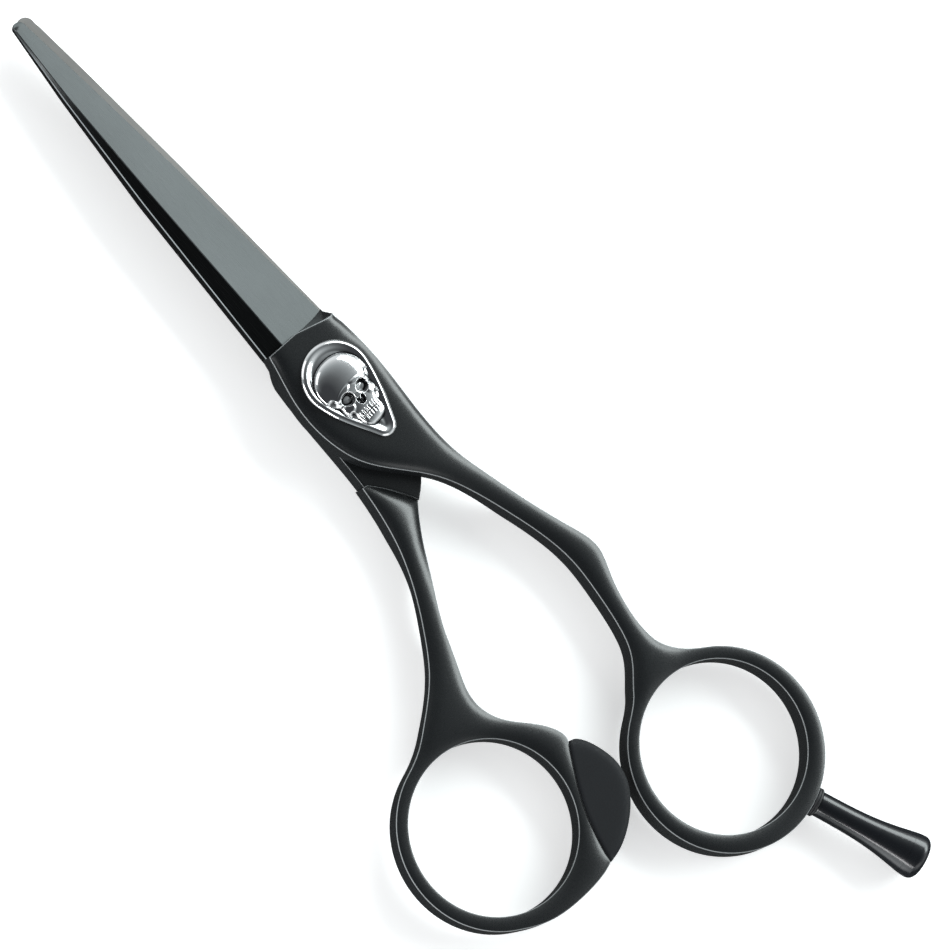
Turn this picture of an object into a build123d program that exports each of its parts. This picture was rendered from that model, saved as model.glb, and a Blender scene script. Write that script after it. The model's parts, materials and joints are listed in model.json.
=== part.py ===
"""Offset hairdressing shears, 5.5 inch class, with a decorated pivot cap and a screw-in finger rest.

The shears lie closed, flat on their back. Units are millimetres.
Origin: on the pivot axis, on the plane of the back faces.
+X points to the blade tips, +Y to the thumb ring's side, +Z up to the decorated side.
The finger half is the upper one at the pivot, and the thumb half swings below it about -Z.
"""

import os
from math import cos, radians, sin, tan

from build123d import *

# ---------------------------------------------------------------- driving dimensions
RIDE_Z = 3.0                # plane on which the thumb half's inner face runs
RIDE_GAP = 0.05             # running gap between the two halves
BODY_TOP_Z = 6.8            # front face of the finger half round the pivot
HANDLE_TOP_Z = 4.9          # front face of both handles
EDGE_BREAK = 0.45           # chamfer on both ends of the ring holes
HANDLE_MID_Z = 2.45         # middle of the handles' thickness
TIP_X = 61.2                # blade tips
RICASSO_X = 9.25            # where the ground blade begins

FINGER_HOLE = (-65.6, -7.9)
FINGER_RIM = (-66.1, -7.95)
FINGER_RIM_R = 13.2
THUMB_HOLE = (-53.2, 22.3)
THUMB_RIM = (-53.4, 22.2)
THUMB_RIM_R = 13.0
RING_HOLE_R = 11.2          # 22.4 mm ring holes
FINGER_WELD_X = -19.0       # blade steel meets handle steel

BLADE_EDGE_T = 0.15         # flat left on the cutting edge

# pivot
JOURNAL_R = 2.60
JOURNAL_FIT = 0.05
SCREW_HEAD_R = 4.2
SCREW_HEAD_T = 1.0
SCREW_RECESS_R = 4.35
SCREW_RECESS_Z = 1.72
SLOT_WIDTH = 1.2
SLOT_DEPTH = 0.6
THREAD_R = 1.50
THREAD_FIT = 0.05
THREAD_TOP_Z = 5.6
CLICK_PLATE_Z = 1.02
CLICK_PLATE_T = 0.30
CLICK_NOTCHES = 12
CLICK_NOTCH_R = 0.45
SPRING_Z = 1.36
SPRING_T = 0.18
SPRING_DISH = 0.14
SPRING_BORE_R = 2.75
SPRING_R = 4.1
BUSHING_R = 3.4
RIDE_WASHER_R = 4.6
RIDE_WASHER_BORE_R = 2.75
RIDE_RECESS_R = 4.7
RIDE_RECESS_Z = 2.65
RIDE_WASHER_T = 0.37
NUT_R = 2.9
NUT_FLATS = 4.8             # across the two flats that stop the nut turning
NUT_FLANGE_R = 3.9
NUT_FLANGE_Z = 4.95
POCKET_Z = 5.75             # floor of the cap's pocket
POCKET_GAP = 0.15
CAP_RIM_Z = 6.95
CAP_TOP_Z = 8.3

# finger rest
REST_ANGLE = 200.7          # direction from the finger hole's centre
REST_TILT = 2.0             # the axis climbs, so that the flared end clears the table
REST_SEAT = 13.80           # distance from that centre to the ring's outer wall
REST_STUD_R = 1.25
REST_STUD_FIT = 0.05
REST_STUD_START = 11.85
REST_STUD_END = 19.0
REST_WASHER_R = 1.95
REST_WASHER_T = 0.7
REST_NECK_R = 1.65
REST_END_R = 2.95
REST_END = 30.2

# bumper
BUMPER_LOW_Z = 0.5
BUMPER_TOP_Z = 4.5
PIN_R = 0.6
PIN_LENGTH = 3.4
PIN_IN_RING = 1.2
PIN_PLACES = ((-54.6, 9.1, -117.0), (-63.3, 12.87, -103.0))    # x, y on the seat, and the way out


def egg(gap=0.0, size=1.0):
    """Outline of the pivot cap: a big round end towards the tips and a small one to the handles."""
    centre_x = -0.7
    centre_y = -0.4
    big = (centre_x + 2.45 * size, centre_y + 0.15 * size)
    small = (centre_x - 5.85 * size, centre_y - 0.45 * size)
    with BuildLine() as line:
        head = CenterArc(big, 4.72 * size + gap, -98, 200)
        tail = CenterArc(small, 1.55 * size + gap, 118, 128)
        Spline(head @ 1, tail @ 0, tangents=(head % 1, tail % 0))
        Spline(tail @ 1, head @ 0, tangents=(tail % 1, head % 0))
    return line.line


def finger_plan():
    """Plan of the finger half's ring, shank and pivot body, as a closed line."""
    with BuildLine() as line:
        rim = CenterArc(FINGER_RIM, FINGER_RIM_R, 33, 295)
        upper = Spline(
            (RICASSO_X, 4.55),
            (4.0, 5.75),
            (0.0, 6.2),
            (-4.0, 5.8),
            (-8.0, 4.4),
            (-12.0, 1.3),
            (-16.0, -2.2),
            (-20.0, -4.5),
            (-25.0, -6.5),
            (-30.0, -8.0),
            (-35.5, -8.85),
            (-40.0, -8.6),
            (-45.0, -7.9),
            (-49.5, -6.3),
            (-52.3, -3.9),
            rim @ 0,
            tangents=((-1.0, 0.16), rim % 0),
        )
        lower = Spline(
            (-48.0, -10.15),
            (-44.0, -10.5),
            (-40.0, -11.6),
            (-36.3, -12.75),
            (-32.0, -11.7),
            (-25.0, -9.3),
            (-20.0, -7.7),
            (-15.0, -6.25),
            (-10.0, -5.8),
            (-5.0, -6.05),
            (0.0, -6.3),
            (4.0, -6.15),
            (RICASSO_X, -5.6),
        )
        Spline(rim @ 1, (-53.0, -12.4), (-51.0, -10.85), lower @ 0, tangents=(rim % 1, lower % 0))
        Line(lower @ 1, upper @ 0)
    return line.line


def seat_line():
    """The flank of the thumb ring that carries the bumper, from its outer to its inner end."""
    with BuildLine() as line:
        Spline(
            (-66.4, 13.6),
            (-63.2, 12.85),
            (-60.0, 11.85),
            (-56.0, 9.9),
            (-52.0, 7.5),
        )
    return line.line


def shoulder_line():
    """The curved step where the thumb handle rises from the ride plate."""
    with BuildLine() as line:
        bend = Spline((-16.8, 0.8), (-14.2, 2.3), (-12.3, 3.75), (-11.0, 5.0))
        Line(bend @ 1, (-10.9, 5.75))
    return line.line


def thumb_plan():
    """Plan of the thumb handle: ring, lug under the bumper, shank and shoulder."""
    with BuildLine() as line:
        rim = CenterArc(THUMB_RIM, THUMB_RIM_R, 18, 132)
        add(seat_line())
        Spline(
            rim @ 1,
            (-66.35, 25.3),
            (-67.2, 19.5),
            (-67.0, 16.0),
            (-66.4, 13.6),
            tangents=(rim % 1, (0.35, -1.0)),
        )
        Spline(
            (-52.0, 7.5),
            (-50.9, 7.15),
            (-49.4, 7.6),
            (-46.5, 9.8),
            (-43.5, 12.3),
            (-40.0, 13.25),
            (-35.0, 11.7),
            (-30.0, 9.6),
            (-25.0, 6.55),
            (-20.0, 3.35),
            (-16.8, 0.8),
        )
        add(shoulder_line())
        Spline(
            (-10.9, 5.75),
            (-15.0, 6.3),
            (-20.0, 7.5),
            (-25.0, 9.7),
            (-30.0, 12.75),
            (-34.0, 15.8),
            (-38.0, 20.6),
            rim @ 0,
            tangents=((-1.0, 0.1), rim % 0),
        )
    return line.line


def blade_section(x, spine, ridge, edge_y, ride, up):
    """Five-sided blade section at x; spine and ridge are (y, height), up is +1 above the ride plane."""
    with BuildSketch(Plane.YZ.offset(x)) as section:
        with BuildLine():
            Polyline(
                (spine[0], ride),
                (spine[0], ride + up * spine[1]),
                (ridge[0], ride + up * ridge[1]),
                (edge_y, ride + up * BLADE_EDGE_T),
                (edge_y, ride),
                close=True,
            )
        make_face()
    return section.sketch


def tip_plan(tip_y, tip_r):
    """A wide plan that ends in a round tip, to trim a blade with."""
    with BuildSketch(Plane.XY) as plan:
        with BuildLine():
            nose = CenterArc((TIP_X - tip_r, tip_y), tip_r, -80, 160)
            Polyline(nose @ 1, (40.0, 6.0), (0.0, 8.0), (0.0, -8.0), (40.0, -6.0), nose @ 0)
        make_face()
    return plan.sketch


def side_profile():
    """Side view of the finger half: low at the ring, stepping up over the thumb half."""
    floor = RIDE_Z + RIDE_GAP
    with BuildSketch(Plane.XZ) as profile:
        with BuildLine():
            Line((-90.0, 0.0), (-26.0, 0.0))
            Spline((-26.0, 0.0), (-20.0, 1.5), (-14.5, floor), tangents=((1.0, 0.0), (1.0, 0.0)))
            Polyline((-14.5, floor), (20.0, floor), (20.0, BODY_TOP_Z), (-9.0, BODY_TOP_Z))
            Spline((-9.0, BODY_TOP_Z), (-27.0, HANDLE_TOP_Z), tangents=((-1.0, 0.0), (-1.0, 0.0)))
            Polyline((-27.0, HANDLE_TOP_Z), (-90.0, HANDLE_TOP_Z), (-90.0, 0.0))
        make_face()
    return profile.sketch


def ring_bore(centre):
    """Finger hole as a cutting tool: a cylinder that flares at both faces."""
    flare = RING_HOLE_R + EDGE_BREAK
    with BuildPart() as tool:
        with BuildSketch(Plane(origin=(centre[0], centre[1], 0.0), x_dir=(1, 0, 0), z_dir=(0, -1, 0))):
            with BuildLine():
                Polyline(
                    (0.0, 0.0),
                    (flare, 0.0),
                    (RING_HOLE_R, EDGE_BREAK),
                    (RING_HOLE_R, HANDLE_TOP_Z - EDGE_BREAK),
                    (flare, HANDLE_TOP_Z),
                    (0.0, HANDLE_TOP_Z),
                    close=True,
                )
            make_face()
        revolve(axis=Axis((centre[0], centre[1], 0.0), (0, 0, 1)))
    return tool.part


def rest_way():
    """Unit vector along the finger rest, away from the ring."""
    flat = cos(radians(REST_TILT))
    return Vector(cos(radians(REST_ANGLE)) * flat, sin(radians(REST_ANGLE)) * flat, sin(radians(REST_TILT)))


def rest_point(distance):
    """Point on the finger rest's axis, at a distance from the finger hole's centre."""
    start_z = HANDLE_MID_Z - REST_SEAT * tan(radians(REST_TILT))
    return Vector(FINGER_HOLE[0], FINGER_HOLE[1], start_z) + rest_way() * distance


def rest_plane(distance):
    """Plane square to the finger rest's axis."""
    across = (sin(radians(REST_ANGLE)), -cos(radians(REST_ANGLE)), 0.0)
    return Plane(origin=rest_point(distance), x_dir=across, z_dir=rest_way())


def write(builder, label):
    """Label the finished piece and write its STEP file."""
    builder.part.label = label
    export_step(builder.part, f"parts/{label}.step")


# ---------------------------------------------------------------- finger half
def finger_half():
    """Ring, shank and pivot body of the finger half in one, before it is parted at the weld."""
    with BuildPart() as half:
        with BuildSketch(Plane.XY):
            make_face(finger_plan())
        extrude(amount=BODY_TOP_Z)
        extrude(side_profile(), amount=40.0, both=True, mode=Mode.INTERSECT)
    return half.part


def finger_handle():
    """Handle steel of the finger half: ring and shank as far as the weld."""
    with BuildPart() as handle:
        add(finger_half())
        split(bisect_by=Plane.YZ.offset(FINGER_WELD_X), keep=Keep.BOTTOM)
        add(ring_bore(FINGER_HOLE), mode=Mode.SUBTRACT)
        with BuildSketch(rest_plane(REST_STUD_START)):
            Circle(REST_STUD_R + REST_STUD_FIT)
        extrude(amount=REST_SEAT - REST_STUD_START + 1.0, mode=Mode.SUBTRACT)
    write(handle, "finger_handle")


def finger_blade():
    """Blade steel of the finger half: pivot body with its pocket and bores, and the upper blade."""
    ride = RIDE_Z + RIDE_GAP
    with BuildPart() as blade:
        add(blade_section(8.6, (4.6, 1.7), (2.2, 3.0), -5.65, ride, 1))
        add(blade_section(34.0, (3.45, 1.9), (2.1, 2.6), -3.65, ride, 1))
        add(blade_section(50.0, (2.1, 1.3), (1.6, 1.7), -2.05, ride, 1))
        add(blade_section(62.0, (0.72, 0.6), (0.65, 0.8), -0.8, ride, 1))
        loft(ruled=True)
        extrude(tip_plan(0.0, 1.0), amount=20.0, both=True, mode=Mode.INTERSECT)
        add(finger_half())
        split(bisect_by=Plane.YZ.offset(FINGER_WELD_X), keep=Keep.TOP)
        with BuildSketch(Plane.XY.offset(POCKET_Z)):
            make_face(egg(POCKET_GAP))
        extrude(amount=2.0, mode=Mode.SUBTRACT)
        with BuildSketch(Plane.XY.offset(NUT_FLANGE_Z)):
            Circle(NUT_FLANGE_R)
        extrude(amount=POCKET_Z - NUT_FLANGE_Z, mode=Mode.SUBTRACT)
        with BuildSketch(Plane.XY.offset(ride)):
            Circle(NUT_R)
            Rectangle(2 * NUT_R, NUT_FLATS, mode=Mode.INTERSECT)
        extrude(amount=NUT_FLANGE_Z - ride, mode=Mode.SUBTRACT)
    write(blade, "finger_blade")


def pivot_nut():
    """Threaded insert that two flats keep from turning; its flange hangs under the cap."""
    ride = RIDE_Z + RIDE_GAP
    with BuildPart() as nut:
        with BuildSketch(Plane.XY.offset(ride)):
            Circle(NUT_R)
            Rectangle(2 * NUT_R, NUT_FLATS, mode=Mode.INTERSECT)
        extrude(amount=NUT_FLANGE_Z - ride)
        with BuildSketch(Plane.XY.offset(NUT_FLANGE_Z)):
            Circle(NUT_FLANGE_R)
        extrude(amount=POCKET_Z - NUT_FLANGE_Z)
        with BuildSketch(Plane.XY.offset(ride)):
            Circle(THREAD_R + THREAD_FIT)
        extrude(amount=POCKET_Z - ride, mode=Mode.SUBTRACT)
    write(nut, "pivot_nut")


def skull_cap():
    """Domed cap that covers the pivot on the decorated side."""
    with BuildPart() as cap:
        with BuildSketch(Plane.XY.offset(POCKET_Z)):
            make_face(egg())
        extrude(amount=CAP_RIM_Z - POCKET_Z)
        with BuildSketch(Plane.XY.offset(CAP_RIM_Z)):
            make_face(egg())
        with BuildSketch(Plane.XY.offset(CAP_RIM_Z + 0.75)):
            make_face(egg(size=0.84))
        with BuildSketch(Plane.XY.offset(CAP_TOP_Z)):
            make_face(egg(size=0.45))
        loft(ruled=True)
    write(cap, "skull_cap")


# ---------------------------------------------------------------- thumb half
def thumb_handle_solid():
    """Ring, shank and shoulder of the thumb half, without the pin holes."""
    with BuildPart() as handle:
        with BuildSketch(Plane.XY):
            make_face(thumb_plan())
        extrude(amount=HANDLE_TOP_Z)
        add(ring_bore(THUMB_HOLE), mode=Mode.SUBTRACT)
    return handle.part


def bumper_pin_planes():
    """Planes at the two pins' ring ends, facing out through the seat towards the bumper."""
    planes = []
    for x, y, out in PIN_PLACES:
        way = Vector(cos(radians(out)), sin(radians(out)), 0.0)
        start = Vector(x, y, HANDLE_MID_Z) - way * PIN_IN_RING
        planes.append(Plane(origin=start, x_dir=(0, 0, 1), z_dir=way))
    return planes


def bumper_pins():
    """Two dowel pins that carry the bumper on its seat."""
    with BuildPart() as pins:
        for plane in bumper_pin_planes():
            with BuildSketch(plane):
                Circle(PIN_R)
        extrude(amount=PIN_LENGTH)
    write(pins, "bumper_pins")
    return pins.part


def thumb_handle(pins):
    """Handle steel of the thumb half, drilled for the bumper's pins."""
    with BuildPart() as handle:
        add(thumb_handle_solid())
        add(pins, mode=Mode.SUBTRACT)
    write(handle, "thumb_handle")


def bumper(pins):
    """D-shaped soft stop that meets the finger ring when the shears close."""
    with BuildPart() as stop:
        with BuildSketch(Plane.XY.offset(BUMPER_LOW_Z)):
            with BuildLine():
                add(seat_line())
                Spline(
                    (-52.0, 7.5),
                    (-51.85, 6.75),
                    (-52.7, 5.75),
                    (-54.8, 4.75),
                    (-57.4, 4.2),
                    (-60.1, 4.65),
                    (-62.7, 6.4),
                    (-64.8, 9.0),
                    (-66.1, 11.8),
                    (-66.4, 13.6),
                )
            make_face()
        extrude(amount=BUMPER_TOP_Z - BUMPER_LOW_Z)
        add(pins, mode=Mode.SUBTRACT)
    write(stop, "bumper")


def thumb_blade():
    """Blade steel of the thumb half: ride plate with the pivot's recesses, and the lower blade."""
    with BuildPart() as blade:
        add(blade_section(8.6, (-5.95, 1.7), (-3.5, 3.0), 4.1, RIDE_Z, -1))
        add(blade_section(34.0, (-4.35, 1.9), (-2.9, 2.6), 2.95, RIDE_Z, -1))
        add(blade_section(50.0, (-3.1, 1.3), (-2.5, 1.7), 1.6, RIDE_Z, -1))
        add(blade_section(62.0, (-2.0, 0.6), (-1.9, 0.8), 0.4, RIDE_Z, -1))
        loft(ruled=True)
        extrude(tip_plan(-0.9, 1.25), amount=20.0, both=True, mode=Mode.INTERSECT)
        with BuildSketch(Plane.XY):
            with BuildLine():
                Spline(
                    (RICASSO_X, -5.95),
                    (4.0, -6.0),
                    (-1.0, -5.85),
                    (-6.0, -5.2),
                    (-11.0, -3.9),
                    (-15.4, -0.9),
                    (-16.8, 0.8),
                )
                Polyline((-16.8, 0.8), (-15.0, 3.6), (-12.4, 5.35), (-11.4, 5.3))
                Spline((-11.4, 5.3), (-6.0, 5.1), (0.0, 5.0), (5.0, 4.7), (RICASSO_X, 4.1))
                Line((RICASSO_X, 4.1), (RICASSO_X, -5.95))
            make_face()
        extrude(amount=RIDE_Z)
        add(thumb_handle_solid(), mode=Mode.SUBTRACT)
        with BuildSketch(Plane.XY):
            Circle(SCREW_RECESS_R)
        extrude(amount=SCREW_RECESS_Z, mode=Mode.SUBTRACT)
        with BuildSketch(Plane.XY.offset(SCREW_RECESS_Z)):
            Circle(BUSHING_R)
        extrude(amount=RIDE_Z - SCREW_RECESS_Z, mode=Mode.SUBTRACT)
        with BuildSketch(Plane.XY.offset(RIDE_RECESS_Z)):
            Circle(RIDE_RECESS_R)
        extrude(amount=RIDE_Z - RIDE_RECESS_Z, mode=Mode.SUBTRACT)
    write(blade, "thumb_blade")


def pivot_bushing():
    """Bearing sleeve in the ride plate."""
    with BuildPart() as bushing:
        with BuildSketch(Plane.XY.offset(SCREW_RECESS_Z)):
            Circle(BUSHING_R)
            Circle(JOURNAL_R + JOURNAL_FIT, mode=Mode.SUBTRACT)
        extrude(amount=RIDE_RECESS_Z - SCREW_RECESS_Z)
    write(bushing, "pivot_bushing")


def ride_washer():
    """Low-friction disc between the halves, let into the ride plate."""
    with BuildPart() as washer:
        with BuildSketch(Plane.XY.offset(RIDE_RECESS_Z)):
            Circle(RIDE_WASHER_R)
            Circle(RIDE_WASHER_BORE_R, mode=Mode.SUBTRACT)
        extrude(amount=RIDE_WASHER_T)
    write(washer, "ride_washer")


# ---------------------------------------------------------------- tension screw
def tension_screw():
    """Pivot screw: slotted head flush with the back, bearing journal and threaded end."""
    with BuildPart() as screw:
        with BuildSketch(Plane.XY):
            Circle(SCREW_HEAD_R)
        extrude(amount=SCREW_HEAD_T)
        with BuildSketch(Plane.XY.offset(SCREW_HEAD_T)):
            Circle(JOURNAL_R)
        extrude(amount=RIDE_Z - SCREW_HEAD_T)
        with BuildSketch(Plane.XY.offset(RIDE_Z)):
            Circle(THREAD_R)
        extrude(amount=THREAD_TOP_Z - RIDE_Z)
        with BuildSketch(Plane.XY):
            Rectangle(2 * SCREW_HEAD_R + 1.0, SLOT_WIDTH)
        extrude(amount=SLOT_DEPTH, mode=Mode.SUBTRACT)
    write(screw, "tension_screw")


def click_plate():
    """Notched plate that turns with the screw and clicks past the spring."""
    with BuildPart() as plate:
        with BuildSketch(Plane.XY.offset(CLICK_PLATE_Z)):
            Circle(SCREW_HEAD_R)
            Circle(JOURNAL_R, mode=Mode.SUBTRACT)
            with PolarLocations(SCREW_HEAD_R, CLICK_NOTCHES):
                Circle(CLICK_NOTCH_R, mode=Mode.SUBTRACT)
        extrude(amount=CLICK_PLATE_T)
    write(plate, "click_plate")


def spring_washer():
    """Dished spring washer that sets the pull of the screw on the ride plate."""
    with BuildPart() as washer:
        with BuildSketch(Plane.XZ):
            with BuildLine():
                Polyline(
                    (SPRING_BORE_R, SPRING_Z),
                    (SPRING_R, SPRING_Z + SPRING_DISH),
                    (SPRING_R, SPRING_Z + SPRING_DISH + SPRING_T),
                    (SPRING_BORE_R, SPRING_Z + SPRING_T),
                    close=True,
                )
            make_face()
        revolve(axis=Axis.Z)
    write(washer, "spring_washer")


# ---------------------------------------------------------------- finger rest
def rest_stud():
    """Threaded stud that screws the rest into the ring."""
    with BuildPart() as stud:
        with BuildSketch(rest_plane(REST_STUD_START + 0.1)):
            Circle(REST_STUD_R)
        extrude(amount=REST_STUD_END - REST_STUD_START - 0.1)
    write(stud, "rest_stud")


def rest_washer():
    """Lock washer between the ring and the rest."""
    with BuildPart() as washer:
        with BuildSketch(rest_plane(REST_SEAT)):
            Circle(REST_WASHER_R)
            Circle(REST_STUD_R + REST_STUD_FIT, mode=Mode.SUBTRACT)
        extrude(amount=REST_WASHER_T)
    write(washer, "rest_washer")


def finger_rest():
    """Flared rest with a rounded end, bored for its stud."""
    start = REST_SEAT + REST_WASHER_T
    across = Vector(-sin(radians(REST_ANGLE)), cos(radians(REST_ANGLE)), 0.0)
    with BuildPart() as rest:
        with BuildSketch(Plane(origin=rest_point(0.0), x_dir=rest_way(), z_dir=rest_way().cross(across))):
            with BuildLine():
                Line((start, REST_STUD_R), (start, REST_NECK_R))
                flare = Spline(
                    (start, REST_NECK_R),
                    (19.5, 1.78),
                    (24.0, 2.25),
                    (REST_END - 1.3, REST_END_R - 0.08),
                    tangents=((1.0, 0.0), (1.0, 0.1)),
                )
                rim = ThreePointArc(
                    flare @ 1,
                    (REST_END - 0.6, REST_END_R - 0.25),
                    (REST_END - 0.3, REST_END_R - 0.8),
                )
                Polyline(
                    rim @ 1,
                    (REST_END, 0.0),
                    (REST_STUD_END, 0.0),
                    (REST_STUD_END, REST_STUD_R),
                    (start, REST_STUD_R),
                )
            make_face()
        revolve(axis=Axis(rest_point(0.0), rest_way()))
    write(rest, "finger_rest")


os.makedirs("parts", exist_ok=True)
finger_handle()
finger_blade()
pivot_nut()
skull_cap()
PINS = bumper_pins()
thumb_handle(PINS)
bumper(PINS)
thumb_blade()
pivot_bushing()
ride_washer()
tension_screw()
click_plate()
spring_washer()
rest_stud()
rest_washer()
finger_rest()
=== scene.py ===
"""Offset hair cutting shears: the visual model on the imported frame.

Lengths are in millimetres until MM scales them to the frame's metres.
"""
import json
from math import cos, pi, radians, sin, sqrt

import bmesh
import bpy
import numpy as np
from mathutils import Matrix, Vector
from mathutils.geometry import delaunay_2d_cdt


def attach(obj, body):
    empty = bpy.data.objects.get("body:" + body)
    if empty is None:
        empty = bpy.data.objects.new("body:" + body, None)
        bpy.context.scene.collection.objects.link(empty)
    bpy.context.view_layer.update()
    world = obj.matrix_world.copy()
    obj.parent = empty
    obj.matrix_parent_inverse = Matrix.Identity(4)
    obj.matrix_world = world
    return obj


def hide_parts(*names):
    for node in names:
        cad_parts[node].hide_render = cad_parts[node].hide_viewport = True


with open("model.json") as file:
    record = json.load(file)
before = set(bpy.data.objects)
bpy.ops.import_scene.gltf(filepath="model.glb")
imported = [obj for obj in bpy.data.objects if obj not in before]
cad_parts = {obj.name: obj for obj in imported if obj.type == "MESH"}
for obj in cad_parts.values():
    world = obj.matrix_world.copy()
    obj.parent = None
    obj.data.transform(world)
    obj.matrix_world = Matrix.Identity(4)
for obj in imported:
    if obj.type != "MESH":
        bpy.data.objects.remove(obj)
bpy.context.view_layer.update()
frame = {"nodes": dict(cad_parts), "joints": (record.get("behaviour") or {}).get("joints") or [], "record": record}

MM = 0.001

# heights and places shared with the frame
HANDLE_TOP = 4.9     # upper face of both handles
BODY_TOP = 6.8       # upper face of the pivot body
RIDE = 3.0           # the thumb half's face where the halves meet
RIDE_UPPER = 3.05    # the finger half's face there
RICASSO_X = 9.25     # end of the bodies, where the ground blades come out
WELD_X = -19.0       # where handle and blade of the finger half meet
RING_HOLE_R = 11.2

# heights at which the outlines are cut
HANDLE_CUT = 4.2
CAP_CUT = 6.3
BUMPER_CUT = 4.0
PLATE_CUT = 1.2
JUST_INSIDE = 0.01   # keeps the cuts at the bodies' end off the end face

# distances between points
RIM_STEP = 0.36
PLATE_STEP = 0.4
POCKET_STEP = 0.3
CAP_STEP = 0.12
FACE_SPACING = 0.38
JOIN_GAP = 0.6       # widest gap closed between two lines of one outline

# film over a face
FILM_STEPS = 600
FILM_REST = 1e-14
CROWN_STEEPNESS = 3.0

# cap and its pocket
POCKET_FLOOR = 6.0
POCKET_LIP = 0.02
CAP_FOOT = 6.02
CAP_RIM = 6.92
MOUNTS = {m["name"]: m for m in frame["record"]["mounts"]}
FINGER_HOLE = np.array(MOUNTS["finger_ring_bore"]["pos_m"][:2]) / MM
THUMB_HOLE = np.array(MOUNTS["thumb_ring_bore"]["pos_m"][:2]) / MM


# ---------------------------------------------------------------- small maths
def smoothstep(value, low, high):
    t = np.clip((np.asarray(value, dtype=float) - low) / (high - low), 0.0, 1.0)
    return t * t * (3.0 - 2.0 * t)


def blend(a, b, t):
    return a + (b - a) * t


def circle(centre, radius, step, clockwise=False):
    count = int(round(2 * pi * radius / step))
    angle = np.linspace(0.0, 2 * pi, count, endpoint=False)
    if clockwise:
        angle = -angle
    return np.column_stack([
        centre[0] + radius * np.cos(angle),
        centre[1] + radius * np.sin(angle),
    ])


def area_of(loop):
    x, y = loop[:, 0], loop[:, 1]
    return 0.5 * float(np.sum(x * np.roll(y, -1) - np.roll(x, -1) * y))


def turned(loop, clockwise=False):
    """The loop in the wanted sense, anticlockwise unless asked."""
    return loop[::-1].copy() if (area_of(loop) < 0) != clockwise else loop.copy()


def inset(loop, amount):
    """The loop moved to its left by an amount, mitred at the corners."""
    forward = np.roll(loop, -1, axis=0) - loop
    forward /= np.linalg.norm(forward, axis=1)[:, None]
    back = np.roll(forward, 1, axis=0)
    normal = np.column_stack([-(forward + back)[:, 1], (forward + back)[:, 0]])
    length = np.linalg.norm(normal, axis=1)
    normal /= length[:, None]
    mitre = 2.0 / np.maximum(length, 1.1)
    return loop + normal * (np.atleast_1d(amount) * mitre)[:, None]


def nearest(points, others):
    """Distance from each point to the closest of the others."""
    best = np.full(len(points), 1e9)
    for start in range(0, len(others), 200):
        gap = points[:, None, :] - others[None, start:start + 200, :]
        best = np.minimum(best, np.sqrt((gap ** 2).sum(axis=2)).min(axis=1))
    return best


def inside(points, loops):
    """Even-odd test of points against closed loops."""
    odd = np.zeros(len(points), dtype=bool)
    for loop in loops:
        x1, y1 = loop[:, 0], loop[:, 1]
        x2, y2 = np.roll(x1, -1), np.roll(y1, -1)
        for a, b, c, d in zip(x1, y1, x2, y2):
            if b == d:
                continue
            hit = (points[:, 1] > min(b, d)) & (points[:, 1] <= max(b, d))
            odd ^= hit & (points[:, 0] < a + (points[:, 1] - b) * (c - a) / (d - b))
    return odd


# ---------------------------------------------------------------- outlines from the frame's solids
def section(node, height, max_x=None):
    """Closed outlines of a node cut at a height, the largest first; max_x trims the node."""
    bm = bmesh.new()
    bm.from_mesh(frame["nodes"][node].data)
    bmesh.ops.remove_doubles(bm, verts=bm.verts[:], dist=1e-6)
    if max_x is not None:
        everything = bm.verts[:] + bm.edges[:] + bm.faces[:]
        bmesh.ops.bisect_plane(
            bm, geom=everything, plane_co=(max_x * MM, 0, 0), plane_no=(1, 0, 0), clear_outer=True
        )
        rim = [e for e in bm.edges if e.is_boundary]
        bmesh.ops.holes_fill(bm, edges=rim, sides=0)
    everything = bm.verts[:] + bm.edges[:] + bm.faces[:]
    cut = bmesh.ops.bisect_plane(
        bm, geom=everything, plane_co=(0, 0, height * MM), plane_no=(0, 0, 1)
    )
    links = {}
    for item in cut["geom_cut"]:
        if isinstance(item, bmesh.types.BMEdge):
            a, b = item.verts
            links.setdefault(a, []).append(b)
            links.setdefault(b, []).append(a)
    loops = []
    used = set()
    for start in sorted(links, key=lambda v: (round(v.co.x, 7), round(v.co.y, 7))):
        if start in used:
            continue
        loop = [start]
        used.add(start)
        while True:
            following = [v for v in links[loop[-1]] if v not in used]
            if not following:
                break
            loop.append(following[0])
            used.add(following[0])
        loops.append([(v.co.x / MM, v.co.y / MM) for v in loop])
    bm.free()
    closed = []
    while loops:
        line = loops.pop(0)
        while loops:
            tail = np.array(line[-1])
            gap, n, back = min(
                (float(np.linalg.norm(tail - other[-1 if back else 0])), n, back)
                for n, other in enumerate(loops) for back in (False, True)
            )
            if gap > min(JOIN_GAP, float(np.linalg.norm(tail - line[0]))):
                break
            other = loops.pop(n)
            line += other[::-1] if back else other
        if len(line) > 2:
            closed.append(turned(np.array(line)))
    closed.sort(key=lambda points: -abs(area_of(points)))
    return closed


def open_at_weld(loop):
    """The loop as an open line that starts and ends on the weld."""
    on_weld = np.abs(loop[:, 0] - WELD_X) < 5e-3
    for i in range(len(loop)):
        if on_weld[i] and not on_weld[(i + 1) % len(loop)]:
            line = np.roll(loop, -i, axis=0)
            after = np.roll(on_weld, -i)
            last = max(n for n in range(len(line)) if not after[n]) + 1
            return line[:last + 1] if after[last % len(line)] else line
    raise ValueError("no weld edge")


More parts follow.
